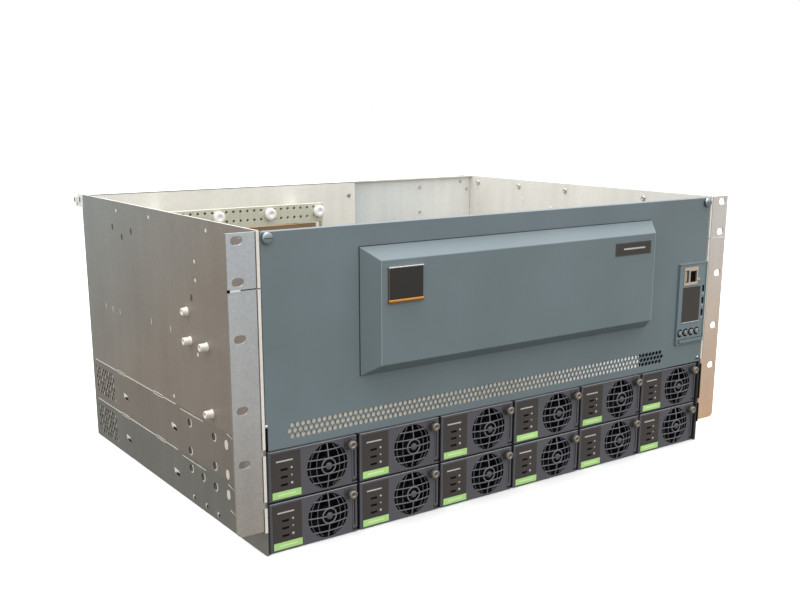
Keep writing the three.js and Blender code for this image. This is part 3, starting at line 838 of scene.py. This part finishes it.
def cover_plates():
    """The blank badge with its bright trim, and the name plate with a plain bar, on the cover's face."""
    face = FACE - COVER_RISE
    badge = Piece("badge_plate")
    x0, x1, z0, z1 = -156.6, -121.6, 201.2, 230.9
    badge.box("bronze", (x0, x1), (face - 1.4, face + 0.2), (z0 + 1, z1), 0.5, 3)
    badge.box("badge", (x0 + 1.2, x1 - 0.7), (face - 1.9, face - 1.0), (z0 + 2.8, z1 - 1.0), 0.3)
    badge.box("orange", (x0 - 0.6, x1 + 0.6), (face - 2.8, face + 0.2), (z0, z0 + 2.9), 1.1, 3)
    badge.box("silver", (x0 - 0.2, x1 + 0.2), (face - 2.2, face + 0.2), (z1 - 0.9, z1 + 0.3), 0.5, 3)
    badge.done("door")
    name = Piece("name_plate")
    name.box("shade", (107.8, 156.8), (face - 0.6, face + 0.1), (217.8, 230.4), 0.25)
    name.box("plate", (108.5, 156.1), (face - 0.75, face - 0.4), (218.5, 229.7), 0.1)
    name.box("ink", (118.5, 148.0), (face - 0.82, face - 0.5), (223.4, 224.9), 0.05)
    name.done("door")


def door_screws():
    """Low round heads with a level screwdriver slot."""
    for word, side in (("left", -1), ("right", 1)):
        piece = Piece(f"door_screw_{word}_head")
        x, z, radius, reach = side * 258.2, 260.6, 4.6, 3.4
        piece.lathe("screw_blue", (x, FACE - 0.1, z), (0, -1, 0),
                    [(0, 0), (radius, 0), (radius, reach - 1), (radius - 0.5, reach - 0.2),
                     (radius - 1.2, reach), (0, reach + 0.15)], 32)
        piece.box("shade", (x - radius + 0.8, x + radius - 0.8),
                  (FACE - reach - 0.34, FACE - reach + 0.4), (z - 0.45, z + 0.45), 0.05)
        piece.done(f"door_screw_{word}", [f"door_screw_{word}"])


# ---------- controller ----------
def controller():
    """The plug-in controller: raised frame, port shell, display, buttons in wells and status windows."""
    x0, x1 = CONTROL_X
    z0, z1 = CONTROL_Z
    front = -3.5
    button_places = [227.3 + i * 8.75 for i in range(4)]
    button_z = 124.8
    dress("controller_housing", "control", 0.4)
    dress("controller_screen", "glass", 0.2)
    trim = Piece("controller_trim")
    usb_x, usb_z = (229.9, 235.5), (178.3, 191.1)
    network_x, network_z = (237.5, 247.7), (178.3, 190.1)
    ports = [rectangle(*usb_x, *usb_z), rectangle(*network_x, *network_z)]
    trim.plate("shell", "xz", rectangle(228.2, 249.6, 175.4, 194.2), ports, front - 0.7, front, 0.2)
    trim.box("dark", usb_x, (front + 1.6, front + 9), usb_z, 0.02)
    trim.box("shell", (231.4, 233.0), (front + 0.2, front + 3), (179.2, 190.2), 0.1)
    trim.box("dark", network_x, (front + 1.4, front + 9), network_z, 0.02)
    trim.lathe("shell", (251.4, front, 180.4), (0, -1, 0), [(0, 0), (1.7, 0), (1.5, 0.8), (0, 1.1)], 14)
    trim.box("silver", (227.4, 255.2), (front - 0.9, front + 0.2), (134.9, 136.1), 0.3)
    trim.box("shade", (227.6, 228.2), (front - 0.3, front + 0.1), (136.2, 173.2), 0.05)
    for z in (164.3, 151.5, 138.4):
        trim.box("silver", (258.8, 261.0), (front - 0.4, front + 0.3), (z - 1.1, z + 1.1), 0.3)
        trim.box("dark", (258.4, 261.4), (front - 0.15, front + 0.3), (z + 2.4, z + 9.2), 0.1)
    rim = 1.3
    for x, z in (((x0, x1), (z1 - rim, z1)), ((x0, x1), (z0, z0 + rim)), ((x0, x0 + rim), (z0, z1)),
                 ((x1 - rim, x1), (z0, z1))):
        trim.box("control", x, (front - 0.8, front + 0.1), z, 0.3)
    trim.box("shade", (x0 + rim, x1 - rim), (front - 0.1, front + 0.05), (z0 + 4.8, z0 + 5.6), 0.02)
    for x in button_places:
        well, hole = circle(x - 0.3, button_z, 4.3, 24), circle(x + 0.5, button_z, 2.4, 24)
        trim.plate("dark", "xz", well, [hole], front - 0.12, front + 0.1, 0.03)
    trim.done("controller")
    for number, x in enumerate(button_places, 1):
        button = Piece(f"button_cap_{number}")
        button.lathe("control", (x, front + 1.4, button_z), (0, -1, 0),
                     [(0, 0), (2.9, 0), (2.9, 1.4), (2.5, 2.0), (1.6, 2.3), (0, 2.4)], 28)
        # A bright crescent on the left of each cap: painted highlight.
        glint = crescent(x + 1.3, button_z, 2.5, (1.7, 0), (105, 255), 12)
        button.plate("silver", "xz", glint, [], front - 1.2, front - 0.2, 0.05)
        button.done(f"controller_button_{number}", [f"controller_button_{number}"])


# ---------- distribution box interior ----------
def interior():
    """The rear wall with its flange, liner and screws, and the deck with the upright breaker panel."""
    rear = Piece("rear_wall")
    wall, flange_y, liner_right = DEPTH - SHEET, DEPTH - 6, 75
    rear.plate("pale_blue", "xz", rectangle(-INSIDE, INSIDE, SHELF_TOP + 0.3, TOP), [], wall, DEPTH, 0.1)
    rear.box("cream", (-INSIDE, INSIDE), (flange_y, wall), (TOP - SHEET, TOP), 0.3)
    rear.box("cream", (-INSIDE, liner_right), (LINER_Y, flange_y), (TOP - SHEET, TOP), 0.3)
    # A bright strip along the top edge of the rear wall: painted highlight.
    rear.box("edge", (-INSIDE, INSIDE), (flange_y - 0.2, DEPTH + 0.05), (TOP - 0.4, TOP + 0.08), 0.05)
    rear.box("cream", (-INSIDE, liner_right), (LINER_Y, 393), (SHELF_TOP + 2.2, TOP - 0.3), 0.3)
    for x in (-220, 0, 220):
        screw(rear, (x, DEPTH, SHELF_TOP + 10), (0, 1, 0))
        screw(rear, (x, DEPTH, TOP - 14), (0, 1, 0))
    for x, z in ((180.6, 254.3), (180.6, 222.8), (248, 259.4), (258.4, 248.9)):
        screw(rear, (x, wall, z), (0, -1, 0), 2.2, 1.4, "screw_pale")
    for x, z in ((66, 250), (66, 140), (-250, 140)):
        screw(rear, (x, LINER_Y, z), (0, -1, 0), 2.4, 1.5)
    rear.done("root", ["rear_panel"])

    deck = Piece("deck_and_breaker_panel")
    floor = SHELF_TOP + 0.4
    deck.box("steel", (-INSIDE, INSIDE), (12, 398.2), (floor, floor + SHEET), 0.2)
    panel_y, low, high, pitch = 46, 150, 186, 16
    socket_places = range(-240, 200, pitch)
    sockets = [rectangle(x - 5.2, x + 5.2, low, high) for x in socket_places]
    outline = rectangle(-INSIDE, 214, floor, 205)
    deck.plate("steel", "xz", outline, sockets, panel_y, panel_y + SHEET, 0.2)
    for x in socket_places:
        deck.box("black", (x - 4.8, x + 4.8), (panel_y + 0.6, 62), (low + 1, high - 1), 0.3)
    deck.done("root", ["distribution_deck"])


def terminal_bars():
    """The perforated tinned bar with three white knobs on its arms, and the copper bar below it."""
    bar = Piece("terminal_bar")
    left, right, low, high, y = -200.0, -4.0, 227.0, 248.6, 338.0
    arm_end = LINER_Y - 0.3
    pitch = 8.5
    knobs, knob_z = (-137.2, -73.8, -10.4), 239.6
    holes = []
    for row_z in (234.2, 244.4):
        for i in range(23):
            x = left + 5 + i * pitch
            if min(abs(x - knob) for knob in knobs) > 6:
                holes.append(circle(x, row_z, 1.5, 12))
    bar.plate("sage", "xz", rectangle(left, right, low, high), holes, y, y + 5, 0.25)
    bar.box("shade", (left + 2, right - 2), (y + 2.4, y + 4.6), (low + 2, high - 2), 0.1)
    bar.box("sage", (right - 2.5, right), (y + 0.5, y + 4.8), (206, low + 1), 0.3)
    for x in (left + 4, right - 20):
        bar.box("sage", (x, x + 16), (y + 1, arm_end), (low + 5, high - 5), 0.3)
    for x in knobs:
        bar.lathe("nylon", (x, y, knob_z), (0, -1, 0),
                  [(0, -0.5), (5.6, -0.5), (6.5, 0.8), (6.5, 4.0), (5.6, 5), (2.2, 5), (1.8, 4.2),
                   (0, 4.2)], 28)
        for knurl_x, knurl_z in circle(x, knob_z, 6.4, 14):
            bar.wire("nylon", [(knurl_x, y - 0.6, knurl_z), (knurl_x, y - 4.2, knurl_z)], 0.5, sides=0)
    bar.done("root", ["return_busbar"])

    feed = Piece("feed_bar")
    feed.box("copper", (left + 7, right - 7), (y + 4, y + 9), (209, 225.5), 0.4)
    for x in (left + 12, right - 26):
        feed.box("copper", (x, x + 14), (y + 5, arm_end), (212, 222.5), 0.3)
    for i in range(6):
        screw(feed, (left + 24 + i * 28, y + 4, 216.5), (0, -1, 0), 4.0, 3.0)
    feed.done("root", ["feed_busbar"])


def places():
    """Row, column and middle x of every module, row by row from the lowest."""
    middle = (COLUMNS - 1) / 2
    return [(row, column, (column - middle) * PITCH) for row in range(ROWS) for column in range(COLUMNS)]


def backplane():
    """The exhaust grid at the shelves' rear, with the module connectors in front of it."""
    piece = Piece("shelf_rear_grid")
    holes = []
    front, back, step = 391.6, 394, 6
    for row, _, cx in places():
        for i in range(11):
            for j in range(5):
                shift = 1.5 if j % 2 else -1.5
                holes.append(circle(cx - 30 + i * step + shift, row * UNIT + 10 + j * step, 2.1, 8))
    piece.plate("steel", "xz", rectangle(-264, 264, 2, SHELF_TOP - 1), holes, front, back, 0.15)
    for row, _, cx in places():
        cz = row * UNIT + 21.25
        piece.box("black", (cx - 22, cx + 22), (351.5, 386), (cz - 7, cz + 7), 0.5)
        piece.box("black", (cx - 4, cx + 4), (385, front + 0.1), (cz - 4, cz + 4), 0.3)
        screw(piece, (cx + 38, back, cz), (0, 1, 0), 2.2, 1.4)
    piece.done("root", ["backplane"])


# ---------- rectifiers ----------
FAN_X, FAN_Z, FAN_R = 55.5, 21.2, 19.7
DOME = 3.0
CASE_START = 24          # depth behind the front face where the steel case begins


def dome_point(x, z, origin_x, origin_z, base=0.6):
    """A point of the grille's shallow dome at (x, z) from the fan's centre."""
    share = max(0.0, 1 - (x * x + z * z) / FAN_R**2)
    return (origin_x + x, base - DOME * share, origin_z + z)


def fan_grille(tag, x0, z0):
    """A domed finger guard: five level bars, an upright and four bowed bars about a hub and a ring."""
    piece = Piece(f"grille_{tag}")
    cx, cz = x0 + FAN_X, z0 + FAN_Z
    radius = 0.55
    ring, hub = 6.6, 3.1
    reach = FAN_R + 0.4
    # The level bars, the upright and the ring take the lighter guard colour as painted highlight; the bowed
    # bars and the hub keep the bezel colour.
    for level in (-13.8, -6.9, 0.0, 6.9, 13.8):
        end = math.sqrt(reach**2 - level**2)
        xs = [-end + 2 * end * i / 24 for i in range(25)]
        if level:
            piece.wire("guard", [dome_point(x, level, cx, cz) for x in xs], radius, sides=1)
            continue
        for sign in (-1, 1):
            run = [x for x in xs if x * sign >= ring - 0.5]
            piece.wire("guard", [dome_point(x, level, cx, cz) for x in run], radius, sides=1)
    for pair in ((-ring, -hub), (hub, ring)):
        piece.wire("guard", [dome_point(x, 0, cx, cz) for x in pair], radius, sides=1)
    for share in (-0.84, -0.56, 0.56, 0.84):
        points = []
        for i in range(21):
            a = math.radians(-62 + 124 * i / 20)
            points.append(dome_point(share * reach * math.cos(a), reach * math.sin(a), cx, cz, 0.8))
        piece.wire("bezel", points, radius * 0.75, sides=1)
    for sign in (-1, 1):
        zs = [sign * (ring + (reach - ring) * i / 10) for i in range(11)]
        piece.wire("guard", [dome_point(0, z, cx, cz) for z in zs], radius, sides=1)
    loop = [dome_point(x, z, cx, cz) for x, z in circle(0, 0, ring, 28)]
    piece.wire("guard", loop, radius * 1.2, True, 1)
    tip = dome_point(0, 0, cx, cz)[1]
    piece.lathe("bezel", (cx, tip, cz), (0, -1, 0),
                [(0, -1), (hub, -1), (hub, 0.3), (hub * 0.8, 0.7), (0, 0.8)], 20)
    piece.done(f"rectifier_{tag}")


def rectifier_face(tag, x0, z0):
    """The label panel with three light slots and plain marks, and the green label with a plain bar."""
    piece = Piece(f"label_{tag}")
    piece.box("panel", (x0 + 2.4, x0 + 29.8), (-0.18, 0.1), (z0 + 1.6, z0 + 40.7), 0.08)
    piece.box("green", (x0 + 3.0, x0 + 29.9), (-0.34, 0.0), (z0 + 1.5, z0 + 7.6), 0.08)
    piece.box("green_light", (x0 + 8.0, x0 + 25.0), (-0.38, 0.0), (z0 + 3.9, z0 + 5.3), 0.05)
    for z in (26.1, 19.6, 12.9):
        piece.box("dark", (x0 + 11.1, x0 + 17.5), (-0.24, 0.0), (z0 + z - 0.95, z0 + z + 0.95), 0.05)
    for z, sides in ((26.8, 4), (20.4, 3), (13.6, 12)):
        piece.lathe("ink", (x0 + 21.4, -0.18, z0 + z), (0, -1, 0),
                    [(0, -0.1), (1.1, -0.1), (1.1, 0.08), (0, 0.08)], sides, False)
    piece.box("ink", (x0 + 7.0, x0 + 22.5), (-0.26, 0.0), (z0 + 32.9, z0 + 34.1), 0.05)
    top = z0 + BEZEL_H
    # A pale strip along the top edge of the front: painted highlight.
    piece.box("highlight", (x0 + 0.4, x0 + BEZEL_W - 0.4), (-0.12, 0.5), (top - 0.45, top + 0.05), 0.05)
    piece.done(f"rectifier_{tag}")


def handle_screw(tag, x0, z0):
    """The knurled captive screw head on the handle, with a small recess."""
    piece = Piece(f"captive_screw_{tag}")
    x, y, z = x0 + 77, 0.05, z0 + 36.5
    radius, reach = 4.2, 7.3
    piece.lathe("nickel", (x, y, z), (0, -1, 0),
                [(0, 0), (radius * 0.72, 0), (radius * 0.72, reach * 0.16), (radius, reach * 0.2),
                 (radius, reach * 0.8), (radius * 0.82, reach), (radius * 0.34, reach),
                 (radius * 0.28, reach * 0.9), (0, reach * 0.9)], 28)
    for knurl_x, knurl_z in circle(x, z, radius, 18):
        start, end = (knurl_x, y - reach * 0.26, knurl_z), (knurl_x, y - reach * 0.82, knurl_z)
        piece.wire("nickel", [start, end], radius * 0.075, sides=0)
    piece.done(f"handle_{tag}")


def rectifier_body(tag, x0, z0):
    """The module's finishes: moulded front, a fan well in near-black as painted shade, and a steel case
    behind the front.
    """
    name = f"rectifier_{tag}"
    dress(name, "bezel", 0.4)
    target = nodes[name]
    case_slot, shaded_well_slot = 1, 2
    for material in ("case", "rotor"):
        target.data.materials.append(MAT[material])
    for polygon in target.data.polygons:
        centre = (target.matrix_world @ polygon.center) * 1000
        depth = centre.y - FRONT_Y
        from_fan = math.hypot(centre.x - x0 - FAN_X, centre.z - z0 - FAN_Z)
        if depth > CASE_START:
            polygon.material_index = case_slot
        # The fan well's walls take the rotor's near-black: painted shade.
        elif depth > 1.0 and from_fan < FAN_R + 0.6:
            polygon.material_index = shaded_well_slot


def rectifiers():
    for row, column, middle in places():
        tag = f"{row + 1}{column + 1}"
        x0, z0 = middle - BEZEL_W / 2, row * UNIT + BEZEL_BASE
        rectifier_body(tag, x0, z0)
        dress(f"handle_{tag}", "bezel", 0.4)
        dress(f"fan_{tag}", "rotor", 0.15)
        fan_grille(tag, x0, z0)
        rectifier_face(tag, x0, z0)
        handle_screw(tag, x0, z0)


make_camera()
make_studio()
side_panel("left_side_panel", -1)
side_panel("right_side_panel", 1)
shelf("lower_shelf", 0.0)
shelf("upper_shelf", UNIT)
seams()
for side_word in ("left", "right"):
    for level_word in ("upper", "lower"):
        dress(f"{side_word}_ear_{level_word}", "ear" if side_word == "left" else "ear_tan_reflection", 0.35)
door()
door_cover()
cover_plates()
door_screws()
controller()
interior()
terminal_bars()
backplane()
rectifiers()
